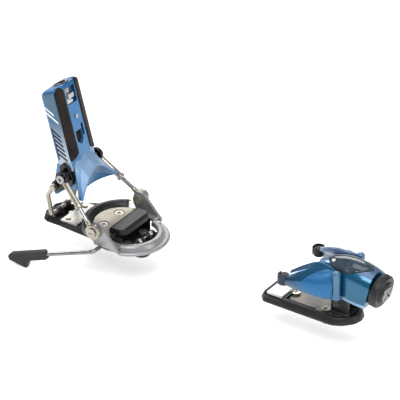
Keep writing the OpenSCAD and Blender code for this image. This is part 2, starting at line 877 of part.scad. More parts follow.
module toe_ring() {
  color([0.08, 0.08, 0.09])
    at_toe()
      toe_axis()
        difference() {
          rotate_extrude($fn = 96)
            polygon([[8.9, -4], [13, -4], [13, -5], [16.5, -4.4], [ring_r, -2.5], [ring_r, 3.5], [ring_r - 1.6, 5.2],
                     [12.6, 5.2], [11.6, 7.6], [8.9, 7.6]]);
          translate([0, 0, -9])
            cylinder(r = 8.9, h = 3);
        }
}

module toe_spring() {
  color([0.6, 0.58, 0.55])
    at_toe()
      toe_axis()
        translate([0, 0, -34])
          coil(7.4, 1.4, 28.5, toe_turns);
}

module toe_spindle() {
  color([0.7, 0.68, 0.64])
    at_toe()
      toe_axis()
        translate([0, 0, -42])
          cylinder(r = 3, h = 38);
}

module wing_pins() {
  color([0.25, 0.24, 0.24])
    at_toe()
      for (s = [-1, 1])
        translate([0, s * wing_pin_y, 22])
          cylinder(r = pin_r, h = barrel_top - 21.2);
}

// ---------------------------------------------------------------- moving toe parts

module toe_release_screw() {
  color([0.82, 0.82, 0.82])
    at_toe()
      toe_axis()
        difference() {
          translate([0, 0, -3.6])
            cylinder(r = 8.9 - fit, h = 12.4);
          for (a = [0, 90])
            translate([0, 0, 8.8])
              rotate([0, 0, a + 45])
                cube([15, 2, 3.2], center = true);
        }
}

module toe_indicator() {
  color([0.75, 0.4, 0.2])
    at_toe()
      toe_axis()
        difference() {
          translate([0, 0, -22])
            cylinder(r = 5.4, h = 3);
          translate([0, 0, -30])
            cylinder(r = 3 + gap, h = 20);
        }
}

module toe_piston() {
  color([0.6, 0.6, 0.6])
    at_toe()
      toe_axis()
        difference() {
          translate([0, 0, -44])
            cylinder(r = spring_bore - 0.4, h = 8);
          translate([0, 0, -46])
            cylinder(r = 3 + gap, h = 20);
        }
}

// Left wing's section at x: inner, outer and mid half widths, then foot and top heights
function wing_ring(x, inner, outer, foot, top) = let (h = top - foot) [
  [x, outer - 2.5, foot], [x, outer - 0.4, foot + 0.25 * h], [x, outer, foot + 0.5 * h],
  [x, outer - 1.6, foot + 0.72 * h], [x, outer - 0.35 * (outer - inner), foot + 0.93 * h],
  [x, inner + 0.25 * (outer - inner), top], [x, inner, top - 0.4], [x, inner, top - 4],
  [x, inner + 0.3 * (outer - inner), foot + 0.5 * h], [x, inner + 0.45 * (outer - inner), foot]
];

module wing(left) {
  color([0.14, 0.44, 0.72])
    at_toe()
      mirror_y(!left)
        difference() {
          union() {
            loft([for (r = [wing_ring(-57, 30.6, 37.6, pad_z - 4.6, pad_z + 5), wing_ring(-50, 24, 38.6, 37, 52),
                            wing_ring(-39, 17.5, 38.8, 36, 58.6), wing_ring(-26, 13, 36.8, 34.8, 64.6),
                            wing_ring(-12, 14.2, 33, 33, 66.4), wing_ring(-2.2, 19, 27, wing_z, barrel_top)])
                    turned(r)]);
            translate([0, wing_pin_y, wing_z])
              cylinder(r = barrel_r, h = barrel_top - wing_z);
          }
          translate([0, wing_pin_y, wing_z - past])
            cylinder(r = pin_r + fit, h = 50);
          translate([-56, 32, pad_z - 10])
            cylinder(r = 6.4, h = 20);
        }
}

module wing_pad(left) {
  color([0.09, 0.09, 0.1])
    at_toe()
      mirror_y(!left)
        translate([-56, 32, pad_z - 4.6])
          cylinder(r = 6, h = 9.4);
}

module afd_plate() {
  color([0.88, 0.88, 0.88])
    at_toe()
      translate([-86.5, -17.5, afd_z - 1.6])
        cube([18.5, 35, 2.6]);
}

// ---------------------------------------------------------------- nodes

heel_base();
heel_disc();
heel_screws();
brake_bracket();
brake_spring();
turntable_ring();
turntable_collar();
turntable_tail();
tail_plate();
tail_rivets();
lug_pin(true);  // lug_pin_left
lug_pin(false);  // lug_pin_right
pressure_screw();
pressure_indicator();
arm_lug(true);  // arm_lug_left
arm_lug(false);  // arm_lug_right
arm_rod(true);  // arm_rod_left
arm_rod(false);  // arm_rod_right
arm_sleeve(true);  // arm_sleeve_left
arm_sleeve(false);  // arm_sleeve_right
arm_eye(true);  // arm_eye_left
arm_eye(false);  // arm_eye_right
stirrup();
heel_housing();
heel_cup();
housing_strip(true);  // housing_strip_left
housing_strip(false);  // housing_strip_right
knuckle(true);  // knuckle_left
knuckle(false);  // knuckle_right
arm_bolts();
housing_cap();
housing_rivet();
heel_spring();
heel_plunger();
heel_release_screw();
heel_indicator();
brake_arm(true);  // brake_arm_left
brake_arm(false);  // brake_arm_right
brake_tip(true);  // brake_tip_left
brake_tip(false);  // brake_tip_right
brake_pedal();
toe_base();
toe_plate();
toe_screws();
toe_body();
toe_window();
toe_ring();
toe_spring();
toe_spindle();
wing_pins();
toe_release_screw();
toe_indicator();
toe_piston();
wing(true);  // wing_left
wing(false);  // wing_right
wing_pad(true);  // wing_pad_left
wing_pad(false);  // wing_pad_right
afd_plate();
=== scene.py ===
"""Looks of the ski binding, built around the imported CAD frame. All shapes are given in millimetres."""
from math import acos, cos, pi, radians, sin, sqrt, tan

import bmesh
import bpy
from mathutils import Matrix, Vector


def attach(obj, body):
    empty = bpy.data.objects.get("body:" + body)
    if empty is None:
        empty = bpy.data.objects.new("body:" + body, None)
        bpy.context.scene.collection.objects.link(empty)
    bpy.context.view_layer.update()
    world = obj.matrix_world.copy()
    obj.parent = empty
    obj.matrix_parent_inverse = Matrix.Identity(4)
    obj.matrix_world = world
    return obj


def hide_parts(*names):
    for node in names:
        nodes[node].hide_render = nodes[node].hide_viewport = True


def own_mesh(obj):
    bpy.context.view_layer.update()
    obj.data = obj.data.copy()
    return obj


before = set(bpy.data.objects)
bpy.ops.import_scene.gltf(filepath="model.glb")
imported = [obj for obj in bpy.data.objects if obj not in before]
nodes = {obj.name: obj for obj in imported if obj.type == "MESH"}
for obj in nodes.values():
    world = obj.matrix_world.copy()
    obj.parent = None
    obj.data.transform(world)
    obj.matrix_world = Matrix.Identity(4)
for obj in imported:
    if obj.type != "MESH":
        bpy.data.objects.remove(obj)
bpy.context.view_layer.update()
scene = bpy.context.scene

# Shared sizes, the same as the CAD's
TOE = 275.5
LEAN = radians(13.4)
HOUSING = Vector((-58.3, 0, 72.8))
HOUSING_LEN = 90
HOUSING_HW = 20.4
FOOT = (-77.0, 12.3)
HOOK = (-68.5, 51.0)
BRAKE_BEND = (-2.5, 50, 7)
BRAKE_DROP = radians(18.5)
BRAKE_WIRE = 61
SPRING_BAR = (26.5, 8.6)
TOE_TILT = radians(102)
TOE_NOSE = (TOE + 38, 43.5)
PIN_Y = 22.5
PAD_X, PAD_Y, PAD_Z = TOE - 56, 32, 42.05
MARK_U = 12.44
SIDES = ((1, "left"), (-1, "right"))

# Camera and floor: the view's turn and rise in degrees, and where the turntable's middle falls in the picture
VIEW_TURN, VIEW_RISE = 34.2, 30.3
FOCAL_PIXELS, PIXELS_PER_MM = 5000.0, 0.97
PICTURE_MIDDLE = 200
ANCHOR = (123.3, 222)
ANCHOR_Z = 19
FLOOR_Z = -0.0326
FLOOR_HALF = 6


# ---------------------------------------------------------------- materials

def new_material(name):
    m = bpy.data.materials.new(name)
    m.use_nodes = True
    return m, m.node_tree.nodes, m.node_tree.links, m.node_tree.nodes["Principled BSDF"]


def rgb(levels):
    """Linear colour of an sRGB triple given from 0 to 255."""
    out = []
    for c in levels:
        c /= 255
        out.append(c / 12.92 if c <= 0.04045 else ((c + 0.055) / 1.055) ** 2.4)
    return (*out, 1)


def noise_on(ns, ln, scale, detail=3, stretch=None):
    co = ns.new("ShaderNodeTexCoord")
    n = ns.new("ShaderNodeTexNoise")
    n.inputs["Scale"].default_value = scale
    n.inputs["Detail"].default_value = detail
    if stretch:
        m = ns.new("ShaderNodeMapping")
        m.inputs["Scale"].default_value = stretch
        ln.new(co.outputs["Object"], m.inputs["Vector"])
        ln.new(m.outputs["Vector"], n.inputs["Vector"])
    else:
        ln.new(co.outputs["Object"], n.inputs["Vector"])
    return n


def ramp(ns, ln, source, stops):
    r = ns.new("ShaderNodeValToRGB")
    while len(r.color_ramp.elements) < len(stops):
        r.color_ramp.elements.new(0.5)
    for e, (at, colour) in zip(r.color_ramp.elements, stops):
        e.position = at
        e.color = colour
    ln.new(source, r.inputs["Fac"])
    return r


def span(ns, ln, source, low, high):
    m = ns.new("ShaderNodeMapRange")
    m.inputs["To Min"].default_value = low
    m.inputs["To Max"].default_value = high
    ln.new(source, m.inputs["Value"])
    return m


def bump(ns, ln, bsdf, source, strength, distance=0.0002):
    b = ns.new("ShaderNodeBump")
    b.inputs["Strength"].default_value = strength
    b.inputs["Distance"].default_value = distance
    ln.new(source, b.inputs["Height"])
    ln.new(b.outputs["Normal"], bsdf.inputs["Normal"])


def surface(name, dark, light, metallic, rough, grain=900, bump_by=0.08, coat=0.0, stretch=None):
    """A surface whose colour drifts between two tones, with a fine grain in its roughness and relief."""
    m, ns, ln, bsdf = new_material(name)
    wide = noise_on(ns, ln, 60, 2)
    tone = ramp(ns, ln, wide.outputs["Fac"], [(0.3, rgb(dark)), (0.7, rgb(light))])
    ln.new(tone.outputs["Color"], bsdf.inputs["Base Color"])
    fine = noise_on(ns, ln, grain, 4, stretch)
    r = span(ns, ln, fine.outputs["Fac"], max(0.02, rough - 0.06), rough + 0.06)
    ln.new(r.outputs["Result"], bsdf.inputs["Roughness"])
    bump(ns, ln, bsdf, fine.outputs["Fac"], bump_by)
    bsdf.inputs["Metallic"].default_value = metallic
    bsdf.inputs["Coat Weight"].default_value = coat
    bsdf.inputs["Coat Roughness"].default_value = 0.08
    if metallic == 0.0 and max(light) < 90:
        bsdf.inputs["Specular IOR Level"].default_value = 0.35 if rough < 0.52 else 0.15
    return m


def painted(name, low, high, axis, ends, metallic=0.55, rough=0.3, coat=0.5):
    """Metallic paint that shades from one colour to another along an axis of the object, with fine flakes."""
    m, ns, ln, bsdf = new_material(name)
    co = ns.new("ShaderNodeTexCoord")
    dot = ns.new("ShaderNodeVectorMath")
    dot.operation = "DOT_PRODUCT"
    dot.inputs[1].default_value = axis
    ln.new(co.outputs["Object"], dot.inputs[0])
    along = ns.new("ShaderNodeMapRange")
    along.inputs["From Min"].default_value, along.inputs["From Max"].default_value = ends
    ln.new(dot.outputs["Value"], along.inputs["Value"])
    tone = ramp(ns, ln, along.outputs["Result"], [(0.0, rgb(low)), (1.0, rgb(high))])
    flake = noise_on(ns, ln, 2600, 2)
    shade = span(ns, ln, flake.outputs["Fac"], 0.88, 1.12)
    mix = ns.new("ShaderNodeVectorMath")
    mix.operation = "SCALE"
    ln.new(tone.outputs["Color"], mix.inputs[0])
    ln.new(shade.outputs["Result"], mix.inputs["Scale"])
    ln.new(mix.outputs["Vector"], bsdf.inputs["Base Color"])
    r = span(ns, ln, flake.outputs["Fac"], rough - 0.05, rough + 0.05)
    ln.new(r.outputs["Result"], bsdf.inputs["Roughness"])
    bump(ns, ln, bsdf, flake.outputs["Fac"], 0.03, 0.00005)
    bsdf.inputs["Metallic"].default_value = metallic
    bsdf.inputs["Coat Weight"].default_value = coat
    bsdf.inputs["Coat Roughness"].default_value = 0.06
    return m


def glass(name):
    m, ns, ln, bsdf = new_material(name)
    fine = noise_on(ns, ln, 120, 2)
    tone = ramp(ns, ln, fine.outputs["Fac"], [(0.3, rgb((44, 60, 74))), (0.7, rgb((70, 88, 102)))])
    ln.new(tone.outputs["Color"], bsdf.inputs["Base Color"])
    r = span(ns, ln, fine.outputs["Fac"], 0.03, 0.08)
    ln.new(r.outputs["Result"], bsdf.inputs["Roughness"])
    bsdf.inputs["IOR"].default_value = 1.45
    bsdf.inputs["Alpha"].default_value = 0.62
    bsdf.inputs["Coat Weight"].default_value = 1.0
    return m


def toe_steel(name):
    """Brushed plate whose raised post, above 10 mm, is coloured near black."""
    m = surface(name, (92, 94, 96), (124, 116, 104), 0.6, 0.38, grain=600, stretch=(0.1, 1, 1))
    ns, ln, bsdf = m.node_tree.nodes, m.node_tree.links, m.node_tree.nodes["Principled BSDF"]
    tone = bsdf.inputs["Base Color"].links[0].from_socket
    co = ns.new("ShaderNodeTexCoord")
    split = ns.new("ShaderNodeSeparateXYZ")
    ln.new(co.outputs["Object"], split.inputs["Vector"])
    high = ns.new("ShaderNodeMapRange")
    high.inputs["From Min"].default_value = 0.0092
    high.inputs["From Max"].default_value = 0.0105
    ln.new(split.outputs["Z"], high.inputs["Value"])
    mix = ns.new("ShaderNodeMix")
    mix.data_type = "RGBA"
    ln.new(high.outputs["Result"], mix.inputs["Factor"])
    ln.new(tone, mix.inputs[6])
    mix.inputs[7].default_value = rgb((26, 27, 30))
    ln.new(mix.outputs[2], bsdf.inputs["Base Color"])
    return m


MAT = {
    "black_plastic": surface("black_plastic", (26, 26, 28), (38, 38, 40), 0.0, 0.42, grain=1500,
                             bump_by=0.25),
    "tail_plastic": surface("tail_plastic", (18, 18, 20), (28, 28, 30), 0.0, 0.36, grain=1500, bump_by=0.25),
    "tip_rubber": surface("tip_rubber", (26, 26, 28), (38, 38, 40), 0.0, 0.45, grain=1800, bump_by=0.4),
    "strip_rubber": surface("strip_rubber", (24, 22, 22), (44, 34, 30), 0.0, 0.55, grain=1700, bump_by=0.35),
    "black_steel": surface("black_steel", (12, 12, 14), (24, 24, 26), 0.6, 0.24, grain=700, coat=0.5,
                           bump_by=0.05),
    "casting": surface("casting", (138, 138, 140), (160, 160, 161), 0.55, 0.4, grain=1300, bump_by=0.2),
    "disc": surface("disc", (134, 130, 119), (160, 154, 139), 0.75, 0.36, grain=500, stretch=(0.08, 1, 1),
                    bump_by=0.1),
    "plate_steel": surface("plate_steel", (158, 155, 150), (186, 182, 175), 0.7, 0.3, grain=500,
                           stretch=(1, 0.08, 1)),
    "toe_steel": toe_steel("toe_steel"),
    "screw_steel": surface("screw_steel", (150, 146, 134), (180, 174, 160), 0.85, 0.3, grain=500),
    "bright_steel": surface("bright_steel", (150, 151, 154), (184, 184, 186), 0.95, 0.24, grain=500,
                            bump_by=0.03),
    "warm_steel": surface("warm_steel", (158, 152, 140), (186, 180, 166), 0.8, 0.3, grain=700, bump_by=0.08),
    "brake_wire": surface("brake_wire", (124, 124, 126), (150, 150, 152), 0.85, 0.26, grain=700,
                          bump_by=0.05),
    "spring_steel": surface("spring_steel", (150, 144, 136), (180, 172, 164), 0.9, 0.22, grain=700,
                            bump_by=0.03),
    "pit_steel": surface("pit_steel", (205, 206, 210), (228, 228, 232), 0.9, 0.2, grain=700, bump_by=0.03),
    "housing_blue": painted("housing_blue", (80, 130, 172), (48, 112, 168), (0, 0, 1), (0.07, 0.16),
                            rough=0.38, coat=0.3),
    "side_blue": painted("side_blue", (180, 192, 206), (66, 100, 126), (-0.2317, 0, 0.9728), (0.088, 0.138),
                         metallic=0.5, rough=0.38, coat=0.3),
    # Cup paint: its own saturated blue low down, turning pale steel-blue towards the top, a painted highlight
    # on the saddle
    "cup_blue": painted("cup_blue", (34, 108, 160), (116, 148, 182), (0, 0, 1), (0.046, 0.076), rough=0.46,
                        coat=0.35, metallic=0.3),
    "toe_blue": painted("toe_blue", (0, 84, 116), (4, 92, 128), (0, 0, 1), (0.03, 0.066), rough=0.26,
                        coat=0.6),
    "toe_pale": painted("toe_pale", (112, 150, 180), (126, 160, 190), (0, 0, 1), (0.026, 0.034), rough=0.34),
    "wing_blue": painted("wing_blue", (22, 58, 76), (0, 84, 124), (1, 0, 0), (0.221, 0.243), rough=0.2,
                         coat=0.8),
    "wing_panel": painted("wing_panel", (24, 104, 156), (22, 100, 152), (0, 0, 1), (0.034, 0.064), rough=0.45,
                          coat=0.15, metallic=0.35),
    "wing_edge": painted("wing_edge", (66, 104, 136), (84, 122, 152), (0, 0, 1), (0.03, 0.066), rough=0.36,
                         coat=0.3),
    # Paler grey-blue for faces turned up on the toe body and inward on the wings: painted sheen
    "pale_painted_sheen": painted("pale_painted_sheen", (84, 108, 142), (92, 114, 146), (0, 0, 1), (0.05, 0.066), rough=0.36,
                        coat=0.3),
    # Dark blue-grey: painted shade inside the housing's slits and the toe window's pit; dark print on the
    # scale lines and the dark skin of the wing hoods
    "slit_dark": surface("slit_dark", (24, 34, 48), (36, 48, 64), 0.2, 0.5),
    # Darker blue for the sunk faces of the housing's window and notch: painted shade
    "recess_painted_shade": surface("recess_painted_shade", (18, 58, 100), (26, 72, 118), 0.3, 0.35),
    "white_marker": surface("white_marker", (222, 226, 230), (240, 242, 244), 0.1, 0.3),
    "white_stripe": surface("white_stripe", (236, 240, 244), (248, 250, 252), 0.0, 0.35),
    "copper_marker": surface("copper_marker", (168, 104, 64), (190, 124, 82), 0.6, 0.35),
    "white_slide": surface("white_slide", (240, 240, 238), (250, 250, 249), 0.0, 0.25, grain=700,
                           stretch=(1, 0.1, 1)),
    "window": glass("window"),
    "knob_steel": surface("knob_steel", (112, 112, 114), (140, 140, 142), 0.8, 0.38, grain=600, bump_by=0.06),
}


# ---------------------------------------------------------------- mesh helpers

def piece(name, verts, faces, mat, body, replaces=(), angle=35, slot=None):
    """A mesh from points in millimetres, shaded smooth up to an angle, riding on a body."""
    me = bpy.data.meshes.new(name)
    me.from_pydata([(x * 0.001, y * 0.001, z * 0.001) for x, y, z in verts], [], faces)
    me.materials.append(MAT[mat])
    bm = bmesh.new()
    bm.from_mesh(me)
    bmesh.ops.remove_doubles(bm, verts=bm.verts, dist=1e-7)
    bmesh.ops.recalc_face_normals(bm, faces=bm.faces)
    bm.to_mesh(me)
    bm.free()
    o = bpy.data.objects.new(name, me)
    scene.collection.objects.link(o)
    finish_piece(o, body, replaces, angle)
    return o


def finish_piece(o, body, replaces=(), angle=35):
    o.data.shade_smooth()
    o.data.set_sharp_from_angle(angle=radians(angle))
    if body:
        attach(o, body)
    if replaces:
        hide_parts(*replaces)


def add_bevel(o, width, segments=2):
    b = o.modifiers.new("edge", "BEVEL")
    b.width = width * 0.001
    b.segments = segments
    b.limit_method = "ANGLE"
    b.angle_limit = radians(30)
    b.harden_normals = True
    b.use_clamp_overlap = True


def loft(rings, closed_ends=True):
    """Quads through rings of equal length, with flat end caps."""
    n = len(rings[0])
    verts = [p for r in rings for p in r]
    faces = [(i * n + j, i * n + (j + 1) % n, (i + 1) * n + (j + 1) % n, (i + 1) * n + j)
             for i in range(len(rings) - 1) for j in range(n)]
    if closed_ends:
        faces.append(tuple(range(n))[::-1])
        faces.append(tuple((len(rings) - 1) * n + j for j in range(n)))
    return verts, faces


def round_ring(points, radii, steps=5):
    """A closed outline with each corner rounded by its own radius."""
    out = []
    n = len(points)
    for i in range(n):
        a, b, c = Vector(points[i - 1]), Vector(points[i]), Vector(points[(i + 1) % n])
        u, v = (a - b), (c - b)
        lu, lv = u.length, v.length
        u.normalize()
        v.normalize()
        half = max(1e-3, acos(max(-1, min(1, u.dot(v)))) / 2)
        cut = min(radii[i] / tan(half), 0.48 * lu, 0.48 * lv)
        p, q = b + u * cut, b + v * cut
        for k in range(steps + 1):
            t = k / steps
            out.append(tuple((1 - t) ** 2 * p + 2 * t * (1 - t) * b + t ** 2 * q))
    return out


def smooth_keys(keys, per):
    """Catmull-Rom through a list of equal-length number lists."""
    out = []
    n = len(keys)
    for i in range(n - 1):
        k0, k1, k2, k3 = keys[max(0, i - 1)], keys[i], keys[i + 1], keys[min(n - 1, i + 2)]
        for s in range(per):
            t = s / per
            out.append([0.5 * (2 * b + (c - a) * t + (2 * a - 5 * b + 4 * c - d) * t * t
                               + (3 * b - a - 3 * c + d) * t ** 3)
                        for a, b, c, d in zip(k0, k1, k2, k3)])
    out.append(list(keys[-1]))
    return out


def tube(path, radius, sides=20, across=None):
    """Round wire along a path of points, with flat end caps."""
    pts = [Vector(p) for p in path]
    rings = []
    ref = Vector(across) if across else Vector((0, 0, 1))
    for i, p in enumerate(pts):
        t = (pts[min(i + 1, len(pts) - 1)] - pts[max(i - 1, 0)]).normalized()
        e1 = ref.cross(t)
        if e1.length < 1e-4:
            e1 = Vector((1, 0, 0)).cross(t)
        e1.normalize()
        e2 = t.cross(e1)
        rings.append([tuple(p + radius * (cos(2 * pi * j / sides) * e1 + sin(2 * pi * j / sides) * e2))
                      for j in range(sides)])
    return loft(rings)


def rounded_path(path, r, n=8):
    pts = [Vector(p) for p in path]
    out = [pts[0]]
    for a, b, c in zip(pts, pts[1:], pts[2:]):
        u, v = (a - b).normalized(), (c - b).normalized()
        half = acos(max(-1, min(1, u.dot(v)))) / 2
        cut = min(r / tan(half), 0.45 * (a - b).length, 0.45 * (c - b).length)
        p, q = b + u * cut, b + v * cut
        for k in range(n + 1):
            t = k / n
            out.append((1 - t) ** 2 * p + 2 * t * (1 - t) * b + t ** 2 * q)
    out.append(pts[-1])
    return out


def circle(x, y, r, z, sides):
    """A level ring of points round (x, y)."""
    return [(x + r * cos(2 * pi * j / sides), y + r * sin(2 * pi * j / sides), z) for j in range(sides)]


def turned(x, y, profile, sides):
    """An upright turned solid, from pairs of radius and height."""
    return loft([circle(x, y, r, z, sides) for r, z in profile])


def joined(meshes):
    """Several meshes as one."""
    verts, faces = [], []
    for v, f in meshes:
        faces += [tuple(k + len(verts) for k in g) for g in f]
        verts += v
    return verts, faces


def prism(outline, low, high, axis="y"):
    """A straight prism of an outline, between two heights along an axis."""
    place = {"x": lambda p, h: (h, p[0], p[1]), "y": lambda p, h: (p[0], h, p[1]),
             "z": lambda p, h: (p[0], p[1], h)}
    return loft([[place[axis](p, h) for p in outline] for h in (low, high)])


def cut(target, cutters):
    """Takes cutter meshes out of an object, exactly, and applies the result."""
    for verts, faces in cutters:
        me = bpy.data.meshes.new("cutter")
        me.from_pydata([(x * 0.001, y * 0.001, z * 0.001) for x, y, z in verts], [], faces)
        bm = bmesh.new()
        bm.from_mesh(me)
        bmesh.ops.recalc_face_normals(bm, faces=bm.faces)
        bm.to_mesh(me)
        bm.free()
        c = bpy.data.objects.new("cutter", me)
        scene.collection.objects.link(c)
        m = target.modifiers.new("cut", "BOOLEAN")
        m.operation = "DIFFERENCE"
        m.solver = "EXACT"
        m.object = c
        bpy.context.view_layer.update()
        result = bpy.data.meshes.new_from_object(target.evaluated_get(bpy.context.evaluated_depsgraph_get()))
        target.modifiers.clear()
        target.data = result
        bpy.data.objects.remove(c)


def paint_by(o, test, mat):
    """Gives a second material to the faces whose centre and normal pass a test, in millimetres."""
    index = len(o.data.materials)
    o.data.materials.append(MAT[mat])
    for p in o.data.polygons:
        if test(p.center * 1000, p.normal):
            p.material_index = index


def dress(node, mat, bevel):
    """A CAD node that stays: its own finish and softened edges."""
    o = nodes[node]
    o.data.materials.clear()
    o.data.materials.append(MAT[mat])
    if bevel:
        w = o.modifiers.new("weld", "WELD")
        w.merge_threshold = 1e-6
        add_bevel(o, bevel)


def leaned(p):
    """A point of the housing's own frame, in the row frame."""
    u, y, w = p
    return (HOUSING.x + u * cos(LEAN) - w * sin(LEAN), y, HOUSING.z + u * sin(LEAN) + w * cos(LEAN))


def lean_all(mesh):
    return [leaned(v) for v in mesh[0]], mesh[1]


def toe_axis(p):
    """A point of the toe spring's own frame, in the row frame."""
    x, y, z = p
    return (TOE_NOSE[0] + x * cos(TOE_TILT) + z * sin(TOE_TILT), y,
            TOE_NOSE[1] - x * sin(TOE_TILT) + z * cos(TOE_TILT))


# ---------------------------------------------------------------- heel housing

def front_u(w):
    return 14.6 - 0.036 * w


def rear_u(w):
    return -9.8 - 0.04 * w


def housing_ring(w, d=0.0):
    fu, ru = front_u(w), rear_u(w)
    k = HOUSING_HW
    half = [(fu - d, 9 - 0.6 * d), (fu - 4.6 - d * 0.6, k - d), (ru + d, k - d)]
    pts = half + [(u, -y) for u, y in reversed(half)]
    rad = [2.4, 2.6, 6.5, 6.5, 2.6, 2.4]
    return [(u, y, w) for u, y in round_ring(pts, rad, 6)]


def slant(p):
    """Lets the top fall away towards the rear."""
    u, y, w = p
    k = max(0.0, min(1.0, (w - 70) / 15))
    return (u, y, w - k * 0.27 * max(0.0, 9 - u))


def slant_at(u, y, h):
    """A point h above the slanted top."""
    return (u, y, HOUSING_LEN - 0.27 * max(0.0, 9 - u) + h)


def build_housing():
    r = 5.0
    rings = [housing_ring(w) for w in (-2, 10, 22, 34, 46, 58, 70, 80, HOUSING_LEN - r)]
    for k in range(1, 9):
        a = k / 8 * pi / 2
        rings.append(housing_ring(HOUSING_LEN - r + r * sin(a), r * (1 - cos(a))))
    rings = [[slant(p) for p in ring] for ring in rings]
    verts, faces = lean_all(loft(rings))
    o = piece("housing", verts, faces, "housing_blue", None)
    window = round_ring([(66.5, -8), (84.5, -8), (84.5, 7.6), (66.5, 7.6)], [1.6] * 4)
    pocket = round_ring([(21, -1.5), (26, -7.2), (37, -7.2), (37, 3.0), (26, 3.0)], [1.4, 1.2, 0.8, 0.8, 1.2])
    notch = round_ring([(29, 3.4), (42, 3.4), (42, 6.4), (29, 6.4)], [1.0] * 4)

    def slot(outline, deep):
        return lean_all(loft([[(h, p[1], p[0]) for p in outline] for h in (MARK_U - deep, 22)]))
    cutters = [slot(window, 3.2), slot(pocket, 1.9), slot(notch, 3.0)]
    # Slanting slits low on each side
    for s in (-1, 1):
        for i in range(6):
            w = 13 + 5.2 * i
            slit = [(-5.6, w + 3.4), (5.4 - 0.5 * i, w - 4.6), (6.0 - 0.5 * i, w - 2.4), (-5.0, w + 5.4)]
            ring = [[(u, s * y, w2) for u, w2 in slit] for y in (HOUSING_HW - 0.9, HOUSING_HW + 2)]
            cutters.append(lean_all(loft(ring)))
    # Seat of the cap
    cutters.append(lean_all(turned(0, 0, ((7.2, HOUSING_LEN - 7), (7.2, HOUSING_LEN + 4)), 48)))
    cut(o, cutters)
    back = Matrix.Rotation(-LEAN, 4, "Y").inverted()

    def local(c):
        return back @ (Vector(c) - HOUSING)

    def on_side(c, n):
        return abs(n.y) > 0.75 and abs(local(c).y) > HOUSING_HW - 0.4

    def in_slit(c, _):
        p = local(c)
        return HOUSING_HW - 1.2 < abs(p.y) < HOUSING_HW - 0.02 and p.z < 50 and -5.9 < p.x < 6 and p.z > 6

    def sunk(heights, across, deep):
        """Faces of a recess in the front, between two heights and two places across."""
        def test(c, _):
            p = local(c)
            return heights[0] < p.z < heights[1] and 8 < p.x < MARK_U - deep and across[0] < p.y < across[1]
        return test
    paint_by(o, on_side, "side_blue")
    # The slits' inner faces are painted dark: painted shade
    paint_by(o, in_slit, "slit_dark")
    # The sunk faces of the window are painted darker blue: painted shade
    paint_by(o, sunk((66, 85), (-8.2, 8.2), 0.6), "recess_painted_shade")
    paint_by(o, sunk((20, 37.5), (-7.4, 3.2), 0.5), "strip_rubber")
    # The notch's sunk faces are painted darker blue too: painted shade
    paint_by(o, sunk((28, 42.5), (3.2, 99), 0.6), "recess_painted_shade")
    finish_piece(o, "heel_head", ["heel_housing"], 32)

    # The low rear block that carries the plunger, seen between the stirrup's wires
    low = round_ring([(-47, 72), (-46, 52), (-50, 48), (-61, 46), (-70, 38), (-73.5, 36.5), (-75.5, 39),
                      (-75, 48), (-73, 60), (-71, 74)], [1, 2, 2, 3, 3, 1.4, 1.4, 3, 3, 1])
    block = piece("housing_foot", *prism(low, -17.4, 17.4), "housing_blue", None)
    add_bevel(block, 1.6, 3)
    finish_piece(block, "heel_head", (), 32)

    # Scale plate in the window, with graduation lines, and its bright ledge
    plate = prism([(-7.6, 70.0), (0.4, 70.0), (0.4, 84.0), (-7.6, 84.0)], MARK_U - 3.1, MARK_U - 2.6, "x")
    piece("scale_plate", *lean_all(plate), "plate_steel", "heel_head", slot="white_marker")
    ledge = prism([(-7.8, 66.8), (3.6, 66.8), (3.6, 69.6), (-7.8, 69.6)], MARK_U - 3.1, MARK_U - 2.65, "x")
    piece("scale_ledge", *lean_all(ledge), "white_marker", "heel_head", slot="white_marker")
    lines = [prism([(-5.6, w), (-1.2, w), (-1.2, w + 0.5), (-5.6, w + 0.5)],
                   MARK_U - 2.62, MARK_U - 2.56, "x")
             for w in (72.2 + 3.0 * i for i in range(4))]
    piece("scale_lines", *lean_all(joined(lines)), "slit_dark", "heel_head")
    # Dark bezel round the release screw, lying in the slanted top
    bezel = []
    for r, h in ((9.4, -0.6), (9.2, 0.3), (8.7, 0.5), (7.0, 0.4), (6.5, 0.0), (6.5, -5.5), (7.4, -5.5)):
        bezel.append([leaned(slant_at(*p)) for p in circle(0, 0, r, h, 48)])
    bezel.append(bezel[0])
    piece("top_bezel", *loft(bezel, False), "black_steel", "heel_head", ["housing_cap"], slot="black_steel")
    # Release screw, sunk in the bezel, with a cross slot
    head = turned(0, 0, ((2.6, 70.5), (2.6, 82), (5.9, 82.2), (5.9, 85.3), (5.4, 85.9), (3.0, 86.1)), 48)
    o = piece("release_screw", *lean_all(head), "bright_steel", None)
    for turn in (0.4, 0.4 + pi / 2):
        a, b = cos(turn), sin(turn)
        bar = [(4.6 * a - 0.8 * b, 4.6 * b + 0.8 * a), (-4.6 * a - 0.8 * b, -4.6 * b + 0.8 * a),
               (-4.6 * a + 0.8 * b, -4.6 * b - 0.8 * a), (4.6 * a + 0.8 * b, 4.6 * b - 0.8 * a)]
        cut(o, [lean_all(loft([[(x, y, h) for x, y in bar] for h in (84.2, 88)]))])
    finish_piece(o, "heel_release_screw", ["heel_release_screw"], 40)
    # White stripes on each side, above the slits
    for s, tag in ((-1, "right"), (1, "left")):
        bands = []
        for w, long in ((59.0, 1.0), (64.5, 0.72)):
            end = -8.6 + 13 * long
            a = [(-8.6, w + 5.0), (end, w + 5.0 - 11 * long), (end, w + 2.6 - 11 * long), (-8.6, w + 2.6)]
            depths = (HOUSING_HW - 0.3, HOUSING_HW + 0.05)
            bands.append(loft([[(u, s * y, w2) for u, w2 in a] for y in depths]))
        piece("side_stripes_" + tag, *lean_all(joined(bands)), "white_stripe", "heel_head")


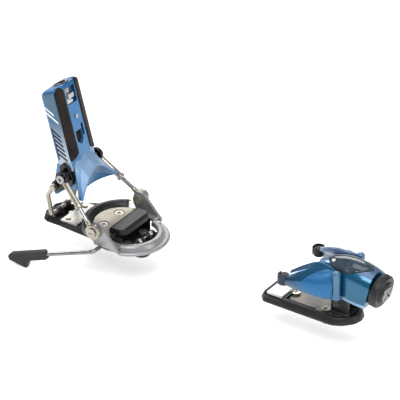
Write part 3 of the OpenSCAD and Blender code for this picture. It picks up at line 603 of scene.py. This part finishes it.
def build_strips():
    for s, tag in ((-1, "right"), (1, "left")):
        rings = []
        keys = [[9.0, 0.86, 0.96], [10.5, 0.5, 0.995], [12.5, 0.2, 1.0], [14.5, 0.04, 1.0], [17, 0.0, 1.0],
                [30, 0, 1], [45, 0, 1], [60, 0, 1], [74, 0, 1], [81, 0.0, 1.0],
                [84.5, 0.02, 0.98], [87, 0.1, 0.9], [88.4, 0.22, 0.78], [89.2, 0.4, 0.6]]
        for w, k0, k1 in smooth_keys(keys, 3):
            fu = front_u(w)
            d = 5 - sqrt(max(0.0, 25 - max(0.0, w - 85) ** 2))
            a, b = Vector((fu + 0.05 - d, 9.3)), Vector((fu - 4.3 - 0.7 * d, HOUSING_HW + 0.1 - d))
            side = (b - a).normalized()
            out = Vector((abs(side.y), abs(side.x)))
            p, q = a + (b - a) * k0, a + (b - a) * k1
            ring = []
            for j in range(10):
                t = j / 9
                bulge = 1.25 * sqrt(max(0.0, 1 - abs(2 * t - 1) ** 6))
                ring.append(p + (q - p) * t + out * bulge)
            base = [q - out * 1.2, p - out * 1.2]
            rings.append([slant((v.x, s * v.y, w)) for v in ring + base])
        o = piece("strip_" + tag, *lean_all(loft(rings)), "strip_rubber", None)
        finish_piece(o, "heel_head", ["housing_strip_" + tag], 50)


def build_knuckles():
    """Side knuckles of the heel head, each a slim web with softened edges."""
    plan = [(-63, 77), (-59, 80.5), (-53, 78), (-46.5, 67), (-46, 60), (-50, 54), (-60, 48.4), (-66, 44.5),
            (-72.6, 46), (-74, 53), (-68, 60), (-64, 68)]
    ring = round_ring(plan, [2, 2, 2.5, 4, 3, 3, 3, 2.5, 2.5, 2.5, 3, 3], 5)
    for s, tag in SIDES:
        o = piece("knuckle_web_" + tag, *prism(ring, s * 19.6, s * 24.0), "black_steel", None)
        add_bevel(o, 0.9, 3)
        finish_piece(o, "heel_head", ["knuckle_" + tag], 40)


# ---------------------------------------------------------------- heel cup

def cup_section(t):
    k = 1 - t
    low = Vector((-44 + 13 * t ** 2.6, 47 + 3.2 * t * t))
    lip = Vector((-32.5 + 6 * t * t, 75 - 32 * t ** 1.6 + 7.6 * t ** 4))
    u = max(0.0, t - 0.455) / 0.545
    back = Vector((-51.5 + 22.5 * u ** 1.15, 92 - 6 * min(1, t / 0.455) - 32.8 * u ** 0.8))
    return [low, Vector((low.x + 1.6 * k, (low.y + lip.y) / 2)),
            Vector(((low.x + lip.x) / 2 + 1.5 * k, lip.y - 2.5 * k)),
            lip, lip + Vector((-0.8, 2.4 - 1.2 * t)), (lip + back) / 2 - Vector((0.8, 1.2)) * k,
            back, Vector((low.x - 1.4 - 1.8 * k, low.y + 0.6))]


def build_cup():
    steps = 40
    rings = []
    for i in range(-steps, steps + 1):
        t = i / steps
        t = (abs(t) ** 0.85) * (1 if t > 0 else -1)
        pts = [tuple(p) for p in cup_section(min(1.0, abs(t)))]
        k = 1 - abs(t)
        rad = [0.4 + 0.4 * k, 4, 3, 1.1, 1.1, 14 * k + 2, 1.0, 0.8]
        rings.append([(x, 33 * t, z) for x, z in round_ring(pts, rad, 5)])
    # The cup's paint turns pale towards the top: a painted highlight on the saddle
    o = piece("cup", *loft(rings), "cup_blue", None)
    knuckle = [(-58, 90), (-57, 81), (-52.6, 78.4), (-46.1, 67.1), (-45.6, 59.8), (-49.8, 53.6),
               (-60, 40), (-80, 40), (-80, 90)]
    cut(o, [prism(knuckle, -40, 40), prism([(-45.6, 74), (-45.6, 40), (-80, 40), (-80, 74)], -17.4, 17.4)])
    finish_piece(o, "heel_head", ["heel_cup"], 42)


# ---------------------------------------------------------------- wires, springs and arms

def coil(place, z0, length, r, wire, turns):
    """A round spring wire, wound along the Z axis of the frame that place() turns into the row's."""
    n = turns * 40
    pts = []
    for i in range(n + 1):
        a = 2 * pi * i / 40
        k = i / n
        ease = k + 0.06 * sin(2 * pi * k) * (1 if turns > 2 else 0)
        pts.append(place((r * cos(a), r * sin(a), z0 + wire + (length - 2 * wire) * ease)))
    axis = Vector(place((0, 0, 1))) - Vector(place((0, 0, 0)))
    return tube(pts, wire, 10, tuple(axis))


def lying(x, z, profile, sides):
    """A turned solid along Y, from pairs of place and radius."""
    return loft([[(x + r * cos(2 * pi * j / sides), y, z + r * sin(2 * pi * j / sides)) for j in range(sides)]
                 for y, r in profile])


def build_wires():
    # Stirrup: foot bar, uprights and the rings of its hooks
    side = [(HOOK[0], 28, HOOK[1] + 0.6), (-76.4, 26.4, 39.6), (FOOT[0], 19.2, FOOT[1])]
    path = [(x, -y, z) for x, y, z in side] + side[::-1]
    parts = [tube(rounded_path(path, 4.8, 10), 2.5, 24, (1, 0.02, 0.06))]
    for s in (-1, 1):
        low, high = sorted((s * 24.5, s * 30.4))
        parts.append(lying(*HOOK, ((low, 3.0), (low + 0.6, 3.6), (high - 0.6, 3.6), (high, 3.0)), 28))
    piece("stirrup_wire", *joined(parts), "warm_steel", "stirrup", ["stirrup"], slot="warm_steel")

    slope = Vector((-cos(BRAKE_DROP), 0.105, -sin(BRAKE_DROP)))
    end = Vector(BRAKE_BEND) + slope.normalized() * BRAKE_WIRE
    for s, tag in SIDES:
        corners = [(8, 20, 19.4), (0.5, 22, 12), (-2.3, 22.1, 7.4), (-2.5, 26, 7), BRAKE_BEND, tuple(end)]
        run = [(p.x, s * p.y, p.z) for p in rounded_path(corners, 4.6, 10)]
        piece("brake_wire_" + tag, *tube(run, 2.2, 24, (0.31, 0, -0.95)), "brake_wire", "brake",
              ["brake_arm_" + tag], slot="brake_wire")

    piece("head_spring", *coil(leaned, 14.5, 49, 5.9, 1.3, 9), "spring_steel", "heel_head", ["heel_spring"],
          slot="spring_steel")
    o = piece("body_spring", *coil(toe_axis, -34, 28.5, 7.4, 1.4, 7), "spring_steel", "ski_fixed",
              ["toe_spring"], slot="spring_steel")
    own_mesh(o)

    def along_bar(p):
        return (SPRING_BAR[0] + p[0], p[2], SPRING_BAR[1] + p[1])
    parts = [coil(along_bar, start, 5.5, 3.1, 0.75, 2) for start in (-12.25, 6.75)]
    parts.append(lying(*SPRING_BAR, ((-17, 1.25), (17, 1.25)), 20))
    piece("pit_springs", *joined(parts), "pit_steel", "ski_fixed", ["brake_spring"], slot="bright_steel")


# ---------------------------------------------------------------- toe piece

def toe_section(x, side_hw, top, foot):
    """A rounded arch over straight lower sides, all round, starting at the crown."""
    mid = top - 15 - 0.2 * (side_hw - 12)
    half = []
    for k in range(25):
        a = pi / 2 * k / 24
        half.append((side_hw * sin(a) ** 0.92, mid + (top - mid) * cos(a) ** 0.9))
    half += [(side_hw + 0.2, mid - 0.4 * (mid - foot)), (side_hw + 0.3, foot + 3.4),
             (side_hw + 1.2, foot + 2.4), (side_hw + 1.2, foot + 0.8), (side_hw - 0.4, foot),
             (side_hw * 0.5, foot)]
    pts = half + [(-y, z) for y, z in reversed(half[1:])]
    return [(TOE + x, y, z) for y, z in pts]


# Toe body along X: half width at the side, top height and foot height
TOE_KEYS = [[-32, 9.6, 58, 46], [-22, 12.4, 62.6, 41], [-11, 15.4, 66.2, 34.4], [0, 17.4, 67.6, 31.6],
            [12, 18.2, 67.2, 30], [24, 18.0, 65.4, 28.4], [34, 16.6, 62.6, 27]]


def window_oval(d):
    """Pointed oval of the window, pulled in by d."""
    r, c = 30.6 - d, 15.0
    top = acos(c / r)
    n = 28
    pts = [(r * sin(top * (2 * k / n - 1)), r * cos(top * (2 * k / n - 1)) - c) for k in range(n + 1)]
    return [(TOE + 3 + x, y) for x, y in pts] + [(TOE + 3 - x, -y) for x, y in pts[1:-1]]


def build_toe_body():
    rings = [toe_section(*k) for k in smooth_keys(TOE_KEYS, 5)]
    o = piece("toe_shell", *loft(rings), "toe_blue", None)
    bore = [[toe_axis(p) for p in circle(0, 0, 9.6, h, 48)] for h in (-46, 14)]
    collar = [[toe_axis(p) for p in circle(0, 0, 26, h, 64)] for h in (-5.1, 20)]
    cutters = [loft(bore), loft(collar), prism(window_oval(0), 48, 80, "z")]
    cutters += [turned(TOE, s * PIN_Y, ((4.7, 26), (4.7, 90)), 40) for s in (-1, 1)]
    cut(o, cutters)
    paint_by(o, lambda c, n: abs(c.y) > 9 and c.z < min(35.0, 36.4 - 0.16 * (c.x - TOE))
             and abs(n.x) < 0.9 and c.x > TOE - 6, "toe_pale")
    # Faces turned up round the window are painted paler grey-blue: painted sheen
    paint_by(o, lambda c, n: n.z > 0.78 and c.z > 50, "pale_painted_sheen")
    # Faces inside the window's oval are painted dark: painted shade in the pit under the glass
    paint_by(o, lambda c, n: (c.x - TOE - 3) ** 2 + (abs(c.y) + 15) ** 2 < 30.68 ** 2, "slit_dark")
    finish_piece(o, "ski_fixed", ["toe_body"], 34)

    # Window: a clear bulging shell over the oval, and the dark seal round it
    keys = smooth_keys(TOE_KEYS, 5)

    def skin(x, y):
        best = 48
        for a, b in zip(keys, keys[1:]):
            if a[0] <= x - TOE <= b[0]:
                t = (x - TOE - a[0]) / (b[0] - a[0])
                ring = toe_section(*[p + (q - p) * t for p, q in zip(a, b)])
                for p, q in zip(ring, ring[1:] + ring[:1]):
                    if (p[1] - y) * (q[1] - y) <= 0 and abs(p[1] - q[1]) > 1e-6:
                        best = max(best, p[2] + (q[2] - p[2]) * (y - p[1]) / (q[1] - p[1]))
        return best
    rim = window_oval(0.1)
    half = len(rim) // 2 + 1
    across = 18
    verts, faces = [], []
    for x, y in rim[:half]:
        for k in range(across + 1):
            v = y * (2 * k / across - 1)
            swell = 1.3 * (1 - (2 * k / across - 1) ** 2) * min(1, y / 8)
            verts.append((x, v, skin(x, v) + 0.15 + swell))
    for a in range(half - 1):
        for k in range(across):
            b = a * (across + 1) + k
            faces.append((b, b + across + 1, b + across + 2, b + 1))
    glass_shell = piece("toe_glass", verts, faces, "window", None)
    thick = glass_shell.modifiers.new("thick", "SOLIDIFY")
    thick.thickness = 0.0012
    thick.offset = -1
    finish_piece(glass_shell, "ski_fixed", ["toe_window"], 60)
    seal = [(x, y, skin(x, y) + 0.05) for x, y in rim]
    piece("window_seal", *tube(seal + seal[:1], 0.5, 8, (0, 0.01, 1)), "black_plastic", "ski_fixed")


def wing_section(x, inner, outer, foot, top):
    h = top - foot
    pts = [(outer - 2.0, foot), (outer, foot + 0.3 * h), (outer - 0.8, foot + 0.58 * h),
           (outer - 0.42 * (outer - inner), foot + 0.84 * h), (inner + 0.1 * (outer - inner), top),
           (inner, top - 4), (inner + 0.3 * (outer - inner), foot + 0.5 * h),
           (inner + 0.45 * (outer - inner), foot)]
    return [(x, y, z) for y, z in round_ring(pts, [1.6, 10, 12, 12, 3, 2, 8, 1.6], 6)]


WING_KEYS = [[-57.0, 30.6, 37.6, 37.4, 47], [-50, 24, 38.6, 37, 52], [-39, 17.5, 38.8, 36, 58.6],
             [-26, 13, 36.8, 34.8, 64.4], [-12, 15.4, 33, 33, 64.6], [-2.2, 19, 27.4, 32, 63.4]]


def wing_skin(x, z):
    """How far out the wing's skin is at a place along it and a height."""
    keys = smooth_keys(WING_KEYS, 6)
    for a, b in zip(keys, keys[1:]):
        if a[0] <= x <= b[0]:
            q = (x - a[0]) / (b[0] - a[0])
            ring = wing_section(*[u + (v - u) * q for u, v in zip(a, b)])
            found = [p[1] + (r[1] - p[1]) * (z - p[2]) / (r[2] - p[2])
                     for p, r in zip(ring, ring[1:] + ring[:1])
                     if (p[2] - z) * (r[2] - z) <= 0 and abs(p[2] - r[2]) > 1e-6]
            return max(found, default=27)
    return 27


def wing_panel(s):
    """Lens-shaped sheet on the wing's outer skin, from its point to the barrel."""
    columns, rows = 20, 9
    start, long, middle, half_height = -34, 31.0, 48.0, 14.6
    verts, faces = [], []
    for i in range(columns + 1):
        t = i / columns
        x = start + long * t
        half = half_height * sin(pi / 2 * min(1, t * 1.25)) ** 0.8
        for j in range(rows + 1):
            z = middle + (2 * j / rows - 1) * half - 1.4 * (1 - t)
            verts.append((TOE + x, s * (wing_skin(x, max(33.5, min(64.5, z))) + 0.25), z))
    for i in range(columns):
        for j in range(rows):
            a = i * (rows + 1) + j
            faces.append((a, a + 1, a + rows + 2, a + rows + 1))
    return verts, faces


def tip_arc(s, start, stop, low, high):
    """Wall round the pad, between two angles in degrees, that folds over its top edge."""
    wall = [(6.15, low), (6.9, low), (7.1, 42), (6.95, high - 0.8), (6.3, high), (4.6, high + 0.5),
            (4.6, high - 0.3), (6.1, high - 0.6)]
    count, n = 18, len(wall)
    verts, faces = [], []
    for k in range(count + 1):
        a = radians(start + (stop - start) * k / count)
        verts += [(PAD_X + r * cos(a), s * (PAD_Y + r * sin(a)), h) for r, h in wall]
    for k in range(count):
        for j in range(n):
            faces.append((k * n + j, k * n + (j + 1) % n, k * n + n + (j + 1) % n, k * n + n + j))
    faces += [tuple(range(n))[::-1], tuple(count * n + j for j in range(n))]
    return verts, faces


def build_wings():
    for s, tag in SIDES:
        body = "wing_" + tag
        rings = [[(TOE + x, s * y, z) for x, y, z in wing_section(*k)] for k in smooth_keys(WING_KEYS, 6)]
        o = piece("wing_shell_" + tag, *loft(rings), "wing_blue", None)
        # Faces turned inward are painted paler grey-blue: painted sheen
        paint_by(o, lambda c, n: n.y * s < -0.25, "pale_painted_sheen")
        paint_by(o, lambda c, n: abs(n.x) < 0.9 and c.x < TOE - 51.5, "black_plastic")
        cut(o, [turned(PAD_X, s * PAD_Y, ((6.4, 30), (6.4, 58)), 40)])
        finish_piece(o, body, [body], 38)
        steps = ((3.6, 32), (4.25, 32.6), (4.25, 60.6), (3.9, 62.0), (3.0, 62.9), (1.4, 63.3))
        barrel = turned(TOE, s * PIN_Y, steps, 36)
        piece("wing_barrel_" + tag, *barrel, "wing_edge", body, slot="wing_blue")
        panel = piece("wing_panel_" + tag, *wing_panel(s), "wing_panel", None)
        thick = panel.modifiers.new("thick", "SOLIDIFY")
        thick.thickness = 0.0005
        thick.offset = 0
        finish_piece(panel, body, (), 50)
        # Hood of the wing's tip, round the outer side of the pad, and its dark rim
        piece("wing_hood_" + tag, *tip_arc(s, 20, 128, 37.2, 47.4), "slit_dark", body, slot="wing_blue")
        piece("wing_rim_" + tag, *tip_arc(s, 126, 205, 37.4, 47.6), "black_plastic", body, slot="wing_blue")
        # Contact pad: a roller with rounded ends and grooves
        groove = ((4.2, -4.7), (5.4, -4.2), (5.95, -3.0), (5.95, -1.2), (5.55, -0.9), (5.55, -0.5),
                  (5.95, -0.2), (5.95, 1.2), (5.55, 1.5), (5.55, 1.9), (5.95, 2.2), (5.9, 3.2),
                  (5.3, 4.3), (4.0, 4.75))
        pad = turned(PAD_X, s * PAD_Y, [(r, PAD_Z + h) for r, h in groove], 40)
        piece("wing_roller_" + tag, *pad, "tip_rubber", body, ["wing_pad_" + tag], slot="black_plastic")


def build_pins():
    steps = ((2.6, 24.5), (2.6, 27.2), (1.75, 27.6), (1.75, 61), (1.3, 61.4))
    pins = joined([turned(TOE, s * PIN_Y, steps, 24) for s in (-1, 1)])
    piece("hinge_pins", *pins, "black_steel", "ski_fixed", ["wing_pins"], slot="black_steel")


def base_plan(d):
    """Plan of the toe base with rounded corners, pulled in by d."""
    pts = [(-93.4 + d, -17 + d), (-87 + d, -24.2 + d), (-4 - d * 0.4, -24.6 + d),
           (6 - d * 0.7, -19 + d * 0.6), (14.5 - d, -9), (16.5 - d, 0), (14.5 - d, 9),
           (6 - d * 0.7, 19 - d * 0.6), (-4 - d * 0.4, 24.6 - d), (-87 + d, 24.2 - d), (-93.4 + d, 17 - d)]
    return round_ring(pts, [3, 5, 16, 14, 14, 14, 14, 14, 16, 5, 3], 6)


def build_toe_base():
    rings = []
    for d, z in ((0.6, 0.0), (0.1, 0.5), (0.0, 1.2), (0.6, 3.2), (2.0, 6.6), (2.6, 7.6), (3.4, 8.0)):
        rings.append([(TOE + x, y, z) for x, y in base_plan(d)])
    o = piece("toe_foot", *loft(rings), "black_plastic", None)
    trough = round_ring([(-64.2, -17), (-2, -18), (9, -8), (9, 8), (-2, 18), (-64.2, 17)],
                        [2.5, 9, 7, 7, 9, 2.5])
    tray = [(-88, -30), (-66.4, -30), (-66.4, 30), (-88, 30)]
    holes = ((-62.5, 0), (-20, -10), (-20, 10))
    cutters = [prism([(TOE + x, y) for x, y in plan], floor, 20, "z")
               for plan, floor in ((trough, 4), (tray, 5.6))]
    cutters += [turned(TOE + x, y, ((2.8, -3), (2.8, 12)), 24) for x, y in holes]
    cut(o, cutters)
    finish_piece(o, "ski_fixed", ["toe_base"], 34)


# ---------------------------------------------------------------- CAD nodes that stay

# Each with its material and the width of its softened edges in millimetres
KEEP = {
    "heel_base": ("black_plastic", 0.4), "heel_disc": ("disc", 0.3),
    "heel_screws": ("screw_steel", 0.3), "brake_bracket": ("black_plastic", 0.3),
    "turntable_ring": ("casting", 0.35), "turntable_collar": ("tail_plastic", 1.6),
    "turntable_tail": ("tail_plastic", 0.6), "tail_plate": ("plate_steel", 0.2),
    "tail_rivets": ("screw_steel", 0.3), "lug_pin_left": ("warm_steel", 0.3),
    "lug_pin_right": ("warm_steel", 0.3), "pressure_screw": ("screw_steel", 0.2),
    "pressure_indicator": ("white_marker", 0.2), "arm_lug_left": ("warm_steel", 0.5),
    "arm_lug_right": ("warm_steel", 0.5), "arm_rod_left": ("bright_steel", 0),
    "arm_rod_right": ("bright_steel", 0), "arm_sleeve_left": ("warm_steel", 0.3),
    "arm_sleeve_right": ("warm_steel", 0.3), "arm_eye_left": ("black_steel", 0.7),
    "arm_eye_right": ("black_steel", 0.7), "arm_bolts": ("bright_steel", 0.4),
    "housing_rivet": ("bright_steel", 0.3), "heel_plunger": ("spring_steel", 0.3),
    "heel_indicator": ("bright_steel", 0.4), "brake_tip_left": ("tip_rubber", 1.2),
    "brake_tip_right": ("tip_rubber", 1.2), "brake_pedal": ("tail_plastic", 1.9),
    "toe_plate": ("toe_steel", 0.3), "toe_screws": ("screw_steel", 0.3),
    "toe_ring": ("black_plastic", 0.5), "toe_spindle": ("warm_steel", 0.3),
    "toe_release_screw": ("knob_steel", 0.4), "toe_indicator": ("copper_marker", 0.3),
    "toe_piston": ("spring_steel", 0.4), "afd_plate": ("white_slide", 0.5),
}


# ---------------------------------------------------------------- camera, floor and light

def build_stage():
    turn, rise = radians(VIEW_TURN), radians(VIEW_RISE)
    right = Vector((cos(turn), sin(turn), 0))
    back = Vector((sin(turn) * cos(rise), -cos(turn) * cos(rise), sin(rise)))
    up = back.cross(right)
    dist = FOCAL_PIXELS / PIXELS_PER_MM
    shift = [(a - PICTURE_MIDDLE) / FOCAL_PIXELS * dist for a in ANCHOR]
    at = Vector((0, 0, ANCHOR_Z)) + back * dist - right * shift[0] + up * shift[1]
    cam = bpy.data.cameras.new("camera")
    cam.lens, cam.sensor_width = 450, 36
    cam.clip_end = 50
    o = bpy.data.objects.new("camera", cam)
    m = Matrix((right, up, back)).transposed().to_4x4()
    m.translation = at * 0.001
    o.matrix_world = m
    scene.collection.objects.link(o)
    scene.camera = o

    me = bpy.data.meshes.new("floor")
    corners = [(x * FLOOR_HALF, y * FLOOR_HALF, FLOOR_Z) for x, y in ((-1, -1), (1, -1), (1, 1), (-1, 1))]
    me.from_pydata(corners, [], [(0, 1, 2, 3)])
    m, ns, ln, bsdf = new_material("floor_pale")
    n = noise_on(ns, ln, 3, 2)
    tone = ramp(ns, ln, n.outputs["Fac"], [(0.2, (0.93, 0.93, 0.93, 1)), (0.8, (0.96, 0.96, 0.96, 1))])
    ln.new(tone.outputs["Color"], bsdf.inputs["Base Color"])
    bsdf.inputs["Roughness"].default_value = 0.9
    bsdf.inputs["Specular IOR Level"].default_value = 0.1
    bsdf.inputs["Emission Color"].default_value = (1, 1, 1, 1)
    bsdf.inputs["Emission Strength"].default_value = 0.42
    me.materials.append(m)
    floor = bpy.data.objects.new("floor", me)
    scene.collection.objects.link(floor)

    target = (0.12, 0, 0.05)

    def area(name, where, size, power):
        light = bpy.data.lights.new(name, "AREA")
        light.shape = "RECTANGLE"
        light.size, light.size_y = size
        light.energy = power
        ob = bpy.data.objects.new(name, light)
        ob.location = where
        ob.rotation_euler = (Vector(target) - Vector(where)).to_track_quat("-Z", "Y").to_euler()
        scene.collection.objects.link(ob)
    area("key", (0.5, -0.9, 1.5), (0.9, 0.7), 15)
    area("front", (1.7, 0.2, 0.8), (0.6, 0.9), 8)
    area("rim", (-0.8, 1.3, 1.0), (1.2, 0.6), 9)
    area("left", (-1.3, 0.2, 0.9), (0.5, 0.4), 7)
    area("top", (0.1, 0.2, 1.9), (1.0, 1.0), 7)
    world = bpy.data.worlds.new("world")
    world.use_nodes = True
    world.node_tree.nodes["Background"].inputs["Color"].default_value = (0.95, 0.97, 1, 1)
    world.node_tree.nodes["Background"].inputs["Strength"].default_value = 0.36
    scene.world = world
    scene.view_settings.view_transform = "Standard"


build_stage()
build_housing()
build_strips()
build_knuckles()
build_cup()
build_wires()
build_toe_body()
build_wings()
build_pins()
build_toe_base()
for node, (mat, width) in KEEP.items():
    dress(node, mat, width)
